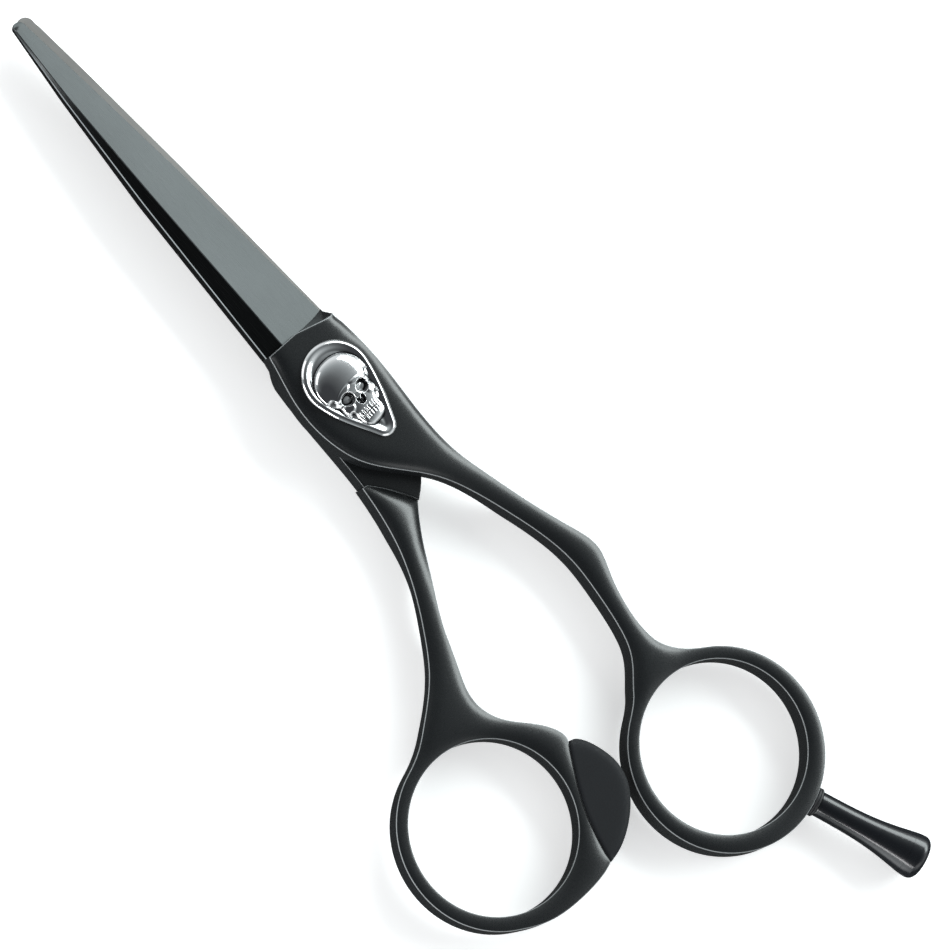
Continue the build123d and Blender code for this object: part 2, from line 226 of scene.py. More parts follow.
def smooth_line(points, step):
    """Even points on a cubic through the given ones."""
    gap = np.linalg.norm(np.diff(points, axis=0), axis=1)
    place = np.concatenate([[0.0], np.cumsum(gap)])
    slope = np.diff(points, axis=0) / gap[:, None]
    tangent = np.empty_like(points)
    before, after = gap[:-1, None], gap[1:, None]
    tangent[1:-1] = (slope[:-1] * after + slope[1:] * before) / (after + before)
    tangent[0] = 2 * slope[0] - tangent[1] if len(points) > 2 else slope[0]
    tangent[-1] = 2 * slope[-1] - tangent[-2] if len(points) > 2 else slope[-1]
    count = max(int(round(place[-1] / step)), 1)
    want = np.linspace(0.0, place[-1], count + 1)
    k = np.clip(np.searchsorted(place, want, side="right") - 1, 0, len(gap) - 1)
    t = ((want - place[k]) / gap[k])[:, None]
    h = gap[k][:, None]
    return (
        (2 * t ** 3 - 3 * t ** 2 + 1) * points[k]
        + (t ** 3 - 2 * t ** 2 + t) * h * tangent[k]
        + (3 * t ** 2 - 2 * t ** 3) * points[k + 1]
        + (t ** 3 - t ** 2) * h * tangent[k + 1]
    )


def smooth_loop(loop, step, corner=30.0):
    """Even points round a closed outline, with its sharp corners kept."""
    keep = np.linalg.norm(np.roll(loop, -1, axis=0) - loop, axis=1) > 0.02
    loop = loop[keep]
    forward = np.roll(loop, -1, axis=0) - loop
    forward /= np.linalg.norm(forward, axis=1)[:, None]
    back = np.roll(forward, 1, axis=0)
    turn = np.degrees(np.arccos(np.clip((forward * back).sum(axis=1), -1, 1)))
    sharp = np.flatnonzero(turn > corner)
    if len(sharp) == 0:
        wrap = np.vstack([loop[-3:], loop, loop[:4]])
        line = smooth_line(wrap, step)
        gap = np.linalg.norm(line - loop[0], axis=1)
        half = len(line) // 2
        return line[int(np.argmin(gap[:half])):half + int(np.argmin(gap[half:]))]
    pieces = []
    for a, b in zip(sharp, np.roll(sharp, -1)):
        run = loop[a:b + 1] if b > a else np.vstack([loop[a:], loop[:b + 1]])
        pieces.append(smooth_line(run, step)[:-1])
    return np.vstack(pieces)


# ---------------------------------------------------------------- crowned plates
def fill(loops, spacing, rows=(0.28, 0.6)):
    """Triangles inside the loops, in rows along the rims and a honeycomb between."""
    rims = np.vstack(loops)
    seeds = []
    for row in rows:
        for loop in loops:
            line = inset(loop, row)
            good = (nearest(line, rims) > 0.88 * row) & inside(line, loops)
            seeds.append(line[good])
    low, high = rims.min(axis=0), rims.max(axis=0)
    rise = spacing * sqrt(3) / 2
    lines = []
    for n, y in enumerate(np.arange(low[1], high[1], rise)):
        x = np.arange(low[0] + (n % 2) * spacing / 2, high[0], spacing)
        lines.append(np.column_stack([x, np.full(len(x), y)]))
    grid = np.vstack(lines)
    grid = grid[inside(grid, loops)]
    grid = grid[nearest(grid, rims) > rows[-1] + 0.55 * spacing]
    cell = 0.6 * spacing
    taken = {}
    kept = []
    for point in np.vstack(seeds + [grid]):
        key = (int(point[0] // cell), int(point[1] // cell))
        near = [
            q for i in (-1, 0, 1) for j in (-1, 0, 1)
            for q in taken.get((key[0] + i, key[1] + j), ())
        ]
        if all((q[0] - point[0]) ** 2 + (q[1] - point[1]) ** 2 > cell * cell for q in near):
            taken.setdefault(key, []).append(point)
            kept.append(point)
    points = np.vstack([rims, np.array(kept)])
    edges = []
    start = 0
    for loop in loops:
        n = len(loop)
        edges += [(start + i, start + (i + 1) % n) for i in range(n)]
        start += n
    made = delaunay_2d_cdt([Vector(p) for p in points], edges, [], 0, 1e-7)
    source = [ids[0] if ids else -1 for ids in made[3]]
    faces = np.array([[source[i] for i in face] for face in made[2]])
    faces = faces[(faces >= 0).all(axis=1)]
    middle = points[faces].mean(axis=1)
    faces = faces[inside(middle, loops)]
    a, b, c = points[faces[:, 0]], points[faces[:, 1]], points[faces[:, 2]]
    spin = (b - a)[:, 0] * (c - a)[:, 1] - (b - a)[:, 1] * (c - a)[:, 0]
    faces[spin < 0] = faces[spin < 0][:, ::-1]
    return points, faces


def swell(points, faces, pinned, reach):
    """Height of a film over the triangles, from 0 where pinned to 1 beyond the reach."""
    count = len(points)
    rows, cols, weights = [], [], []
    load = np.zeros(count)
    corners = [points[faces[:, i]] for i in range(3)]
    doubled = (corners[1] - corners[0])[:, 0] * (corners[2] - corners[0])[:, 1]
    doubled -= (corners[1] - corners[0])[:, 1] * (corners[2] - corners[0])[:, 0]
    doubled = np.maximum(np.abs(doubled), 1e-9)
    for i in range(3):
        j, k = (i + 1) % 3, (i + 2) % 3
        cot = ((corners[j] - corners[i]) * (corners[k] - corners[i])).sum(axis=1) / doubled
        rows += [faces[:, j], faces[:, k]]
        cols += [faces[:, k], faces[:, j]]
        weights += [cot / 2, cot / 2]
        load += np.bincount(faces[:, i], doubled / 6, count)
    rows, cols, weights = np.concatenate(rows), np.concatenate(cols), np.concatenate(weights)
    diagonal = np.bincount(rows, weights, count) + load / reach ** 2
    free = ~pinned

    def apply(x):
        return (diagonal * x - np.bincount(rows, weights * x[cols], count)) * free

    x = np.zeros(count)
    residual = load * free
    step = residual / np.maximum(diagonal, 1e-9)
    power = float(residual @ step)
    for _ in range(FILM_STEPS):
        image = apply(step)
        alpha = power / max(float(step @ image), 1e-30)
        x += alpha * step
        residual = residual - alpha * image
        scaled = residual / np.maximum(diagonal, 1e-9)
        fresh = float(residual @ scaled)
        if fresh < FILM_REST:
            break
        step = scaled * free + fresh / power * step
        power = fresh
    return x / reach ** 2


def bulge(height):
    """A film's height made steeper next to its rims."""
    return np.tanh(CROWN_STEEPNESS * height)


def constant(height):
    """A face or a drop that is the same all over."""
    return lambda x, y: np.full(np.shape(x), height)


class Shell:
    """Vertices and faces collected into one mesh."""

    def __init__(self):
        self.verts = []
        self.faces = []
        self.attributes = {}
        self.slots = {}

    def add(self, points):
        start = len(self.verts)
        self.verts += [tuple(float(c) for c in p) for p in points]
        return list(range(start, len(self.verts)))

    def strip(self, upper, lower, closed=True, slots=None):
        n = len(upper)
        for i in range(n if closed else n - 1):
            j = (i + 1) % n
            if slots and i in slots:
                self.slots[len(self.faces)] = slots[i]
            self.faces.append((upper[i], lower[i], lower[j], upper[j]))

    def mesh(self, name, angle=35.0):
        mesh = bpy.data.meshes.new(name)
        mesh.from_pydata([tuple(c * MM for c in v) for v in self.verts], [], self.faces)
        for key, values in self.attributes.items():
            layer = mesh.attributes.new(key, "FLOAT", "POINT")
            layer.data.foreach_set("value", np.asarray(values, dtype=np.float32))
        for face, slot in self.slots.items():
            mesh.polygons[face].material_index = slot
        bm = bmesh.new()
        bm.from_mesh(mesh)
        bmesh.ops.remove_doubles(bm, verts=bm.verts[:], dist=2e-7)
        bmesh.ops.recalc_face_normals(bm, faces=bm.faces[:])
        bm.to_mesh(mesh)
        bm.free()
        mesh.polygons.foreach_set("use_smooth", [True] * len(mesh.polygons))
        mesh.set_sharp_from_angle(angle=radians(angle))
        obj = bpy.data.objects.new(name, mesh)
        bpy.context.scene.collection.objects.link(obj)
        return obj


def plate(name, outer, holes, top, bottom, chamfer=0.11, low_round=0.2, top_drop=None,
          low_drop=None, top_reach=1.2, low_reach=1.2, free=None, pocket=None,
          hole_profile=None, warp=None):
    """A plate whose faces lie at the heights that top and bottom give at (x, y).

    A drop is how far a face falls to its rims, and a reach is how far in from them it has
    risen. free picks rim points that don't fall, pocket is the rim and floor of a recess in
    the top, hole_profile is the (inset, height) of the holes' walls, and warp moves vertices.
    """
    shell = Shell()
    worn = []
    loops = [outer] + list(holes)

    def face(amount, surface, drop, reach, sign, extra):
        rims = [inset(loop, amount) for loop in loops] + extra
        points, tris = fill(rims, FACE_SPACING)
        rim_count = sum(len(loop) for loop in rims)
        pinned = np.zeros(len(points), dtype=bool)
        pinned[:rim_count - sum(len(loop) for loop in extra)] = True
        if free is not None:
            pinned &= ~free(points)
        level = surface(points[:, 0], points[:, 1])
        if drop is not None:
            size = drop(points[:, 0], points[:, 1])
            level = level - sign * size * (1.0 - bulge(swell(points, tris, pinned, reach)))
        ids = shell.add(np.column_stack([points, level]))
        order = (0, 1, 2) if sign > 0 else (2, 1, 0)
        shell.faces += [tuple(ids[t[o]] for o in order) for t in tris]
        split = []
        start = 0
        for loop in rims:
            split.append((ids[start:start + len(loop)], level[start:start + len(loop)]))
            start += len(loop)
        return split

    upper = face(chamfer, top, top_drop, top_reach, 1, [pocket[0]] if pocket else [])
    lower = face(low_round, bottom, low_drop, low_reach, -1, [])
    for n, loop in enumerate(loops):
        high, high_z = upper[n]
        low, low_z = lower[n]
        if n > 0 and hole_profile is not None:
            rings = [
                shell.add(np.column_stack([inset(loop, move), np.full(len(loop), z)]))
                for move, z in hole_profile
            ]
        else:
            rings = []
            for share in (0.5, 1.0):
                move = chamfer * (1.0 - sin(share * pi / 2))
                z = high_z - chamfer * (1 - cos(share * pi / 2))
                rings.append(shell.add(np.column_stack([inset(loop, move), z])))
                # the chamfer rings take the lighter edge colour: worn coating and partly a painted highlight
                worn += rings[-1]
            rings.append(shell.add(np.column_stack([loop, high_z - 1.8 * chamfer])))
            for share in (0.0, 0.33, 0.67):
                move = low_round * (1.0 - cos(share * pi / 2))
                z = low_z + low_round * (1.0 - sin(share * pi / 2))
                rings.append(shell.add(np.column_stack([inset(loop, move), z])))
        previous = high
        for ring in rings + [low]:
            shell.strip(previous, ring)
            previous = ring
    if pocket:
        rim, depth = pocket
        ids, level = upper[-1]
        walls = [
            shell.add(np.column_stack([rim, level - POCKET_LIP])),
            shell.add(np.column_stack([rim, np.full(len(rim), depth)])),
        ]
        previous = ids
        for ring in walls:
            shell.strip(previous, ring)
            previous = ring
        shell.faces.append(tuple(previous[::-1]))
    if warp:
        shell.verts = [warp(*v) for v in shell.verts]
    edge = np.zeros(len(shell.verts))
    edge[worn] = 1.0
    shell.attributes["edge"] = edge
    return shell.mesh(name)


# ---------------------------------------------------------------- turned pieces
def turned_piece(name, origin, axis, profile, count=96, angle=35.0):
    """A solid of revolution; profile lists (radius, distance along the axis), end to end."""
    axis = Vector(axis).normalized()
    side = axis.cross(Vector((0, 0, 1))) if abs(axis.z) < 0.9 else Vector((1, 0, 0))
    side.normalize()
    other = axis.cross(side)
    origin = Vector(origin)
    shell = Shell()
    rings = []
    for radius, along in profile:
        middle = origin + axis * along
        if radius < 1e-6:
            rings.append(shell.add([middle]))
            continue
        rings.append(shell.add([
            middle + side * (radius * cos(turn)) + other * (radius * sin(turn))
            for turn in (2 * pi * i / count for i in range(count))
        ]))
    for first, second in zip(rings, rings[1:]):
        if len(first) == 1:
            shell.faces += [(first[0], second[i], second[(i + 1) % count]) for i in range(count)]
        elif len(second) == 1:
            shell.faces += [(first[i], second[0], first[(i + 1) % count]) for i in range(count)]
        else:
            shell.strip(first, second)
    return shell.mesh(name, angle)


def rounded(profile, radii, steps=5):
    """The profile with each inner corner turned into a short arc."""
    done = [profile[0]]
    for before, here, after, radius in zip(profile, profile[1:], profile[2:], radii):
        here, before, after = Vector(here), Vector(before), Vector(after)
        if radius <= 0:
            done.append(tuple(here))
            continue
        a = here + (before - here).normalized() * radius
        b = here + (after - here).normalized() * radius
        for i in range(steps + 1):
            t = i / steps
            done.append(tuple(a * (1 - t) ** 2 + here * 2 * t * (1 - t) + b * t * t))
    done.append(profile[-1])
    return done


# ---------------------------------------------------------------- materials
def coating(name, color, roughness, metallic=0.0, specular=0.5, stretch=(1, 1, 1), grain=2500.0,
            bump=0.08, depth=2e-5, mottle=0.12, mottle_scale=90.0, rough_range=0.08,
            wear_and_highlight_color=None, wear_and_highlight=0.0, recess_color=None, recess_rough=0.6):
    """A finish with fine grain and cloudy tone and, where asked, lighter edges or dark recesses; the lighter edges
    are worn coating and partly a painted highlight.
    """
    material = bpy.data.materials.new(name)
    material.use_nodes = True
    tree = material.node_tree
    shader = tree.nodes["Principled BSDF"]
    link = tree.links.new

    def noise(vector, scale, detail):
        node = tree.nodes.new("ShaderNodeTexNoise")
        node.inputs["Scale"].default_value = scale
        node.inputs["Detail"].default_value = detail
        link(vector, node.inputs["Vector"])
        return node.outputs["Fac"]

    def spread(value, low, high):
        """The middle of a noise's range, spread from low to high."""
        node = tree.nodes.new("ShaderNodeMapRange")
        node.inputs["From Min"].default_value = 0.3
        node.inputs["From Max"].default_value = 0.7
        node.inputs["To Min"].default_value = low
        node.inputs["To Max"].default_value = high
        link(value, node.inputs["Value"])
        return node.outputs["Result"]

    shader.inputs["Metallic"].default_value = metallic
    shader.inputs["Specular IOR Level"].default_value = specular
    place = tree.nodes.new("ShaderNodeTexCoord")
    scaled = tree.nodes.new("ShaderNodeMapping")
    scaled.inputs["Scale"].default_value = stretch
    link(place.outputs["Object"], scaled.inputs["Vector"])
    fine = noise(scaled.outputs["Vector"], grain, 4.0)
    cloud = noise(place.outputs["Object"], mottle_scale, 3.0)
    tone = spread(cloud, 1.0 - mottle, 1.0 + mottle)
    paint = tree.nodes.new("ShaderNodeVectorMath")
    paint.operation = "SCALE"
    paint.inputs[0].default_value = color
    link(tone, paint.inputs["Scale"])
    surface = paint.outputs["Vector"]
    rough = spread(fine, roughness - rough_range, roughness + rough_range)
    # edge: lighter colour on the chamfers, worn coating and partly a painted highlight for their bright lines
    for attribute, other, amount, other_rough in (
        ("edge", wear_and_highlight_color, wear_and_highlight, max(roughness - 0.1, 0.1)),
        ("recess", recess_color, 1.0, recess_rough),
    ):
        if other is None:
            continue
        where = tree.nodes.new("ShaderNodeAttribute")
        where.attribute_name = attribute
        share = tree.nodes.new("ShaderNodeMath")
        share.operation = "MULTIPLY"
        share.inputs[1].default_value = amount
        link(where.outputs["Fac"], share.inputs[0])
        if attribute == "edge":
            patchy = tree.nodes.new("ShaderNodeMath")
            patchy.operation = "MULTIPLY"
            link(share.outputs[0], patchy.inputs[0])
            link(tone, patchy.inputs[1])
            share = patchy
        mix = tree.nodes.new("ShaderNodeMix")
        mix.data_type = "RGBA"
        link(share.outputs[0], mix.inputs["Factor"])
        link(surface, mix.inputs["A"])
        mix.inputs["B"].default_value = (*other, 1.0)
        surface = mix.outputs["Result"]
        level = tree.nodes.new("ShaderNodeMix")
        link(share.outputs[0], level.inputs["Factor"])
        link(rough, level.inputs["A"])
        level.inputs["B"].default_value = other_rough
        rough = level.outputs["Result"]
    link(surface, shader.inputs["Base Color"])
    link(rough, shader.inputs["Roughness"])
    relief = tree.nodes.new("ShaderNodeBump")
    relief.inputs["Strength"].default_value = bump
    relief.inputs["Distance"].default_value = depth
    link(fine, relief.inputs["Height"])
    link(relief.outputs["Normal"], shader.inputs["Normal"])
    return material


def finish_piece(obj, material, body, slot, *nodes, weighted=True):
    """Material, body and replaced nodes of a finished piece; the slot is not used."""
    for each in material if isinstance(material, tuple) else (material,):
        obj.data.materials.append(each)
    if weighted:
        even = obj.modifiers.new("even shading", "WEIGHTED_NORMAL")
        even.keep_sharp = True
    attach(obj, body)
    if nodes:
        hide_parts(*nodes)


# Lighter edges: worn coating and partly a painted highlight along the chamfers.
BLACK = coating(
    "satin black handle coating", (0.0085, 0.0097, 0.0107), 0.29, specular=0.65, grain=5200.0,
    bump=0.05, rough_range=0.04, wear_and_highlight_color=(0.50, 0.52, 0.53), wear_and_highlight=0.65,
)
BLADE = coating(
    "ground dark blade coating", (0.035, 0.0375, 0.038), 0.26, metallic=1.0,
    stretch=(0.05, 1, 1), grain=9000.0, bump=0.05, depth=1e-5, mottle=0.04, rough_range=0.03,
)
# Lighter corner strips of the blades: worn coating and partly a painted highlight along the corners.
BLADE_WORN_AND_HIGHLIT_EDGE = coating(
    "worn blade edge with painted highlight", (0.17, 0.18, 0.185), 0.30, metallic=1.0, stretch=(0.05, 1, 1),
    grain=9000.0,
)
RIDE_STEEL = coating(
    "fine ground ride face", (0.31, 0.30, 0.29), 0.55, metallic=0.85, stretch=(1, 0.08, 1),
    grain=7000.0, bump=0.2, depth=1e-5,
)
CHROME = coating(
    "polished cap metal", (0.78, 0.785, 0.79), 0.10, metallic=1.0, grain=3500.0,
    rough_range=0.03, bump=0.05, mottle=0.06, recess_color=(0.020, 0.020, 0.023),
    recess_rough=0.40,
)
STEEL = coating(
    "turned steel", (0.42, 0.43, 0.44), 0.28, metallic=1.0, grain=4200.0, bump=0.15,
)
BRONZE = coating("bearing bronze", (0.55, 0.36, 0.16), 0.35, metallic=1.0, grain=3000.0)
NYLON = coating("pale nylon", (0.72, 0.71, 0.66), 0.45, grain=3000.0)
BLACK_NYLON = coating(
    "black nylon", (0.02, 0.02, 0.022), 0.6, grain=6000.0, bump=0.5, depth=5e-5,
)
RUBBER = coating(
    "soft black elastomer", (0.006, 0.007, 0.009), 0.66, specular=0.25, grain=6500.0,
    bump=0.3, depth=4e-5, mottle=0.15,
)
REST_BLACK = coating(
    "glossy black rest coating", (0.008, 0.009, 0.011), 0.20, specular=0.6, grain=4500.0,
    rough_range=0.04, bump=0.05,
)


# ---------------------------------------------------------------- finger half
def upper_top(x, y):
    """Rises from the handle to the pivot body."""
    return HANDLE_TOP + (BODY_TOP - HANDLE_TOP) * smoothstep(x, -27.0, -9.0)


def upper_top_drop(x, y):
    return blend(0.66, 0.78, smoothstep(x, -24.0, -8.0))


def upper_bottom(x, y):
    """Rises from the back plane to the face that rides on the thumb half."""
    return blend(0.0, RIDE_UPPER, smoothstep(x, -26.0, -14.5))


def upper_low_drop(x, y):
    shank = blend(0.95, 0.0, smoothstep(x, -24.0, -15.0))
    return shank * blend(0.75, 1.0, smoothstep(x, -54.0, -48.0))


def slanted_end(x, y, z):
    """The body's end leans back over the ground facet towards the cutting edge."""
    run = 1.4 * np.clip((0.1 - y) / 5.0, 0.0, 1.1)
    up = np.clip((z - RIDE_UPPER) / (BODY_TOP - RIDE_UPPER), 0.0, 1.0)
    return (x - run * up * float(smoothstep(x, 5.5, RICASSO_X)), y, z)


ring_part = open_at_weld(section("finger_handle", HANDLE_CUT)[0])
body_part = open_at_weld(section("finger_blade", HANDLE_CUT, RICASSO_X - JUST_INSIDE)[0])
FINGER_OUTLINE = smooth_loop(turned(np.vstack([ring_part, body_part[1:-1]])), RIM_STEP)
CAP_OUTLINE = smooth_loop(section("skull_cap", CAP_CUT)[0], CAP_STEP)
POCKET = smooth_loop(turned(CAP_OUTLINE, clockwise=True), POCKET_STEP)
upper = plate(
    "finger_half_steel",
    FINGER_OUTLINE,
    [circle(FINGER_HOLE, RING_HOLE_R, RIM_STEP, clockwise=True)],
    upper_top,
    upper_bottom,
    top_drop=upper_top_drop,
    top_reach=2.3,
    low_drop=upper_low_drop,
    free=lambda p: p[:, 0] > RICASSO_X - 0.35,
    pocket=(POCKET, POCKET_FLOOR),
    warp=slanted_end,
)
finish_piece(upper, BLACK, "finger_half", "handle_coating", "finger_handle", "finger_blade")


# ---------------------------------------------------------------- thumb half
def lower_top(x, y):
    """Level on the ring, leaning down towards the shears' middle line on the shank and shoulder."""
    flank = np.interp(x, (-30.0, -25.0, -20.0, -15.0, -10.0), (12.75, 9.7, 7.5, 6.3, 5.75))
    return HANDLE_TOP - 0.20 * smoothstep(x, -30.0, -20.0) * np.clip(flank - y, 0.0, 7.0)


def lower_top_drop(x, y):
    return blend(0.66, 1.15, smoothstep(x, -32.0, -20.0))


def lower_low_drop(x, y):
    """Most on the shank, less on the ring, least under the shoulder."""
    handle = blend(1.25, 2.2, smoothstep(x, -44.0, -36.0))
    return blend(handle, 0.5, smoothstep(x, -26.0, -17.0))


THUMB_OUTLINE = smooth_loop(section("thumb_handle", HANDLE_CUT)[0], RIM_STEP)
lower = plate(
    "thumb_half_steel",
    THUMB_OUTLINE,
    [circle(THUMB_HOLE, RING_HOLE_R, RIM_STEP, clockwise=True)],
    lower_top,
    constant(0.0),
    top_drop=lower_top_drop,
    top_reach=2.5,
    low_drop=lower_low_drop,
)
finish_piece(lower, BLACK, "thumb_half", "handle_coating", "thumb_handle")


# ---------------------------------------------------------------- bumper
BUMPER_TOP = 4.5
BUMPER_BOTTOM = 0.5
BUMPER_SEAT = 0.45   # rim points this near the ring stay at full height
BUMPER_OUTLINE = smooth_loop(section("bumper", BUMPER_CUT)[0], RIM_STEP)
stop = plate(
    "ring_bumper",
    BUMPER_OUTLINE,
    [],
    constant(BUMPER_TOP),
    constant(BUMPER_BOTTOM),
    chamfer=0.16,
    low_round=0.16,
    top_drop=constant(0.35),
    low_drop=constant(1.1),
    top_reach=1.1,
    low_reach=1.1,
    free=lambda p: nearest(p, THUMB_OUTLINE) < BUMPER_SEAT,
)
finish_piece(stop, RUBBER, "thumb_half", "bumper_rubber", "bumper")


# ---------------------------------------------------------------- blades
BLADE_START = 9.0
EDGE_LAND = 0.15                                  # height of the flat at the cutting edge
HOLLOW = 0.05                                     # depth of the hollow in the ground facet
CORNER_FLATS = (0.05, 0.10, 0.07, 0.03, 0.03)     # worn corners, from the spine round to the edge


def cut_corner(before, here, after, size):
    """Two points that replace a corner by a small flat."""
    here, before, after = np.array(here), np.array(before), np.array(after)
    a, b = before - here, after - here
    la, lb = np.linalg.norm(a), np.linalg.norm(b)
    return [here + a / la * min(size, la * 0.3), here + b / lb * min(size, lb * 0.3)]


def blade(name, start, table, ride, up, tip):
    """A five-sided ground blade, pointing up or down from the ride face.

    A table row is x, the spine's y and height, the ridge's y and height, and the edge's y.
    tip is the x, y and radius of the rounded point.
    """
    table = np.array(table)
    tip_x, tip_y, tip_r = tip
    end = tip_x + tip_r
    straight = np.linspace(start, tip_x - 0.4, 70)
    curved = tip_x + tip_r * np.sin(np.linspace(-0.2, pi / 2 - 0.04, 16))
    places = np.concatenate([straight, curved])
    side = 1.0 if table[0][1] > table[0][5] else -1.0
    shell = Shell()
    rings = []
    for x in places:
        spine, spine_h, ridge, ridge_h, edge = [
            float(np.interp(x, table[:, 0], table[:, i])) for i in range(1, 6)
        ]
        if x > tip_x - 0.6:
            room = sqrt(max(tip_r ** 2 - max(x - tip_x, 0.0) ** 2, 1e-4))
            spine = side * min(side * spine, side * tip_y + room)
            edge = side * max(side * edge, side * tip_y - room)
        width = abs(spine - edge)
        ridge = side * np.clip(side * ridge, side * edge + 0.3 * width, side * spine - 0.06 * width)
        round_off = 1.0 - 0.55 * float(smoothstep(x, tip_x, end))
        corners = [
            (spine, ride),
            (spine, ride + up * spine_h * round_off),
            (ridge, ride + up * ridge_h * round_off),
            (edge, ride + up * EDGE_LAND),
            (edge, ride),
        ]
        points = []
        for i, size in enumerate(CORNER_FLATS):
            points.append(cut_corner(corners[i - 1], corners[i], corners[(i + 1) % 5], size))
        outline = points[0] + points[1]
        for t in (0.25, 0.5, 0.75):
            outline.append(points[1][1] * (1 - t) + points[2][0] * t)
        outline += points[2]
        for t in (0.15, 0.3, 0.45, 0.6, 0.75, 0.9):
            hollow = np.array([0.0, -up * HOLLOW * min(width / 6.0, 1.0) * sin(pi * t)])
            outline.append(points[2][1] * (1 - t) + points[3][0] * t + hollow)
        outline += points[3] + points[4]
        rings.append(shell.add([(x, y, z) for y, z in outline]))
    # corner strips take the lighter edge material: worn coating and partly a painted highlight
    worn_and_highlit_corners = (0, 2, 7, 15, 17)
    slots = {strip: 1 for strip in worn_and_highlit_corners}
    slots[len(rings[0]) - 1] = 2
    for first, second in zip(rings, rings[1:]):
        shell.strip(first, second, slots=slots)
    shell.faces.append(tuple(rings[0]))
    shell.faces.append(tuple(rings[-1][::-1]))
    return shell.mesh(name, 12.0)


upper_blade = blade(
    "upper_blade",
    BLADE_START,
    [
        (8.6, 4.60, 1.70, 2.20, 3.00, -5.65),
        (34.0, 3.45, 1.90, 2.10, 2.60, -3.65),
        (50.0, 2.10, 1.30, 1.60, 1.70, -2.05),
        (62.0, 0.72, 0.60, 0.65, 0.80, -0.80),
    ],
    RIDE_UPPER,
    1,
    (60.2, 0.0, 1.0),
)
BLADE_FINISH = (BLADE, BLADE_WORN_AND_HIGHLIT_EDGE, RIDE_STEEL)
finish_piece(upper_blade, BLADE_FINISH, "finger_half", "blade_coating", "finger_blade")
lower_blade = blade(
    "lower_blade",
    BLADE_START,
    [
        (8.6, -5.95, 1.70, -3.50, 3.00, 4.10),
        (34.0, -4.35, 1.90, -2.90, 2.60, 2.95),
        (50.0, -3.10, 1.30, -2.50, 1.70, 1.60),
        (62.0, -2.00, 0.60, -1.90, 0.80, 0.40),
    ],
    RIDE,
    -1,
    (59.95, -0.9, 1.25),
)
finish_piece(lower_blade, BLADE_FINISH, "thumb_half", "blade_coating", "thumb_blade")


# ---------------------------------------------------------------- ride plate of the thumb half
def plate_bottom(x, y):
    """Level under the pivot, then rising with the lower blade's facet towards its end."""
    return 0.375 * np.clip(y + 3.5, 0.0, 7.5) * smoothstep(x, 5.2, RICASSO_X)


PLATE_OUTLINE = smooth_loop(
    section("thumb_blade", PLATE_CUT, RICASSO_X - JUST_INSIDE)[0], PLATE_STEP
)
BORE_R = 4.7
ride_plate = plate(
    "ride_plate",
    PLATE_OUTLINE,
    [circle((0.0, 0.0), BORE_R, RIM_STEP, clockwise=True)],
    constant(RIDE),
    plate_bottom,
    chamfer=0.05,
    low_round=0.1,
    hole_profile=[
        (0.0, 2.95), (0.0, 2.65), (-1.3, 2.65), (-1.3, 1.72), (-0.35, 1.72), (-0.35, 0.1),
    ],
)
finish_piece(ride_plate, BLACK, "thumb_half", "blade_coating", "thumb_blade")


# ---------------------------------------------------------------- pivot cap with its relief
def dome(u, v, cu, cv, ru, rv, height, power):
    """Rounded mound on an ellipse, zero outside it; a higher power squares it off."""
    out = (np.abs((u - cu) / ru)) ** power + (np.abs((v - cv) / rv)) ** power
    return height * np.sqrt(1.0 - np.minimum(out, 1.0))


def dent(u, v, cu, cv, ru, rv, turn=0.0):
    """Soft-edged patch: 1 in its middle and 0 outside the ellipse."""
    c, s = cos(turn), sin(turn)
    a, b = (u - cu) * c + (v - cv) * s, -(u - cu) * s + (v - cv) * c
    return 1.0 - smoothstep(np.sqrt((a / ru) ** 2 + (b / rv) ** 2), 0.55, 1.1)


def skull(u, v):
    """Relief height of a generic skull: u runs from chin to crown, v across the face."""
    w = np.abs(v)
    cranium = dome(u, v, 1.75, 0.0, 3.35, 3.80, 1.34, 2.1)
    face = dome(u, v, -1.2, 0.0, 2.6, 2.80, 1.04, 2.4)
    jaw = dome(u, v, -3.1, 0.0, 1.95, 1.85, 0.88, 2.6)
    height = np.maximum(np.maximum(cranium, face), jaw)
    height = height + 0.16 * dent(u, w, -1.35, 2.05, 0.75, 0.9)
    height = height + 0.13 * dent(u, w, 0.62, 1.35, 0.45, 1.45, 0.25)
    height = height - 0.30 * dent(u, w, 0.2, 3.25, 0.9, 0.6)
    height = height - 0.30 * dent(u, w, -2.75, 2.2, 0.95, 0.5)
    height = height - 0.78 * dent(u, w, -0.38, 1.30, 0.86, 0.98, -0.35)
    height = height - 0.50 * dent(u, w, -1.62, 0.27, 0.62, 0.33, 0.35)
    teeth = smoothstep(u, -4.05, -3.85) * (1 - smoothstep(u, -2.75, -2.5))
    teeth = teeth * (1 - smoothstep(w, 1.3, 1.6))
    groove = np.clip(1.0 - np.abs(((w / 0.48 + 0.5) % 1.0) - 0.5) / 0.15, 0.0, 1.0)
    bite = np.clip(1.0 - np.abs(u + 3.3 + 0.05 * w * w) / 0.09, 0.0, 1.0)
    return height - 0.2 * teeth * np.maximum(groove, 1.4 * bite)


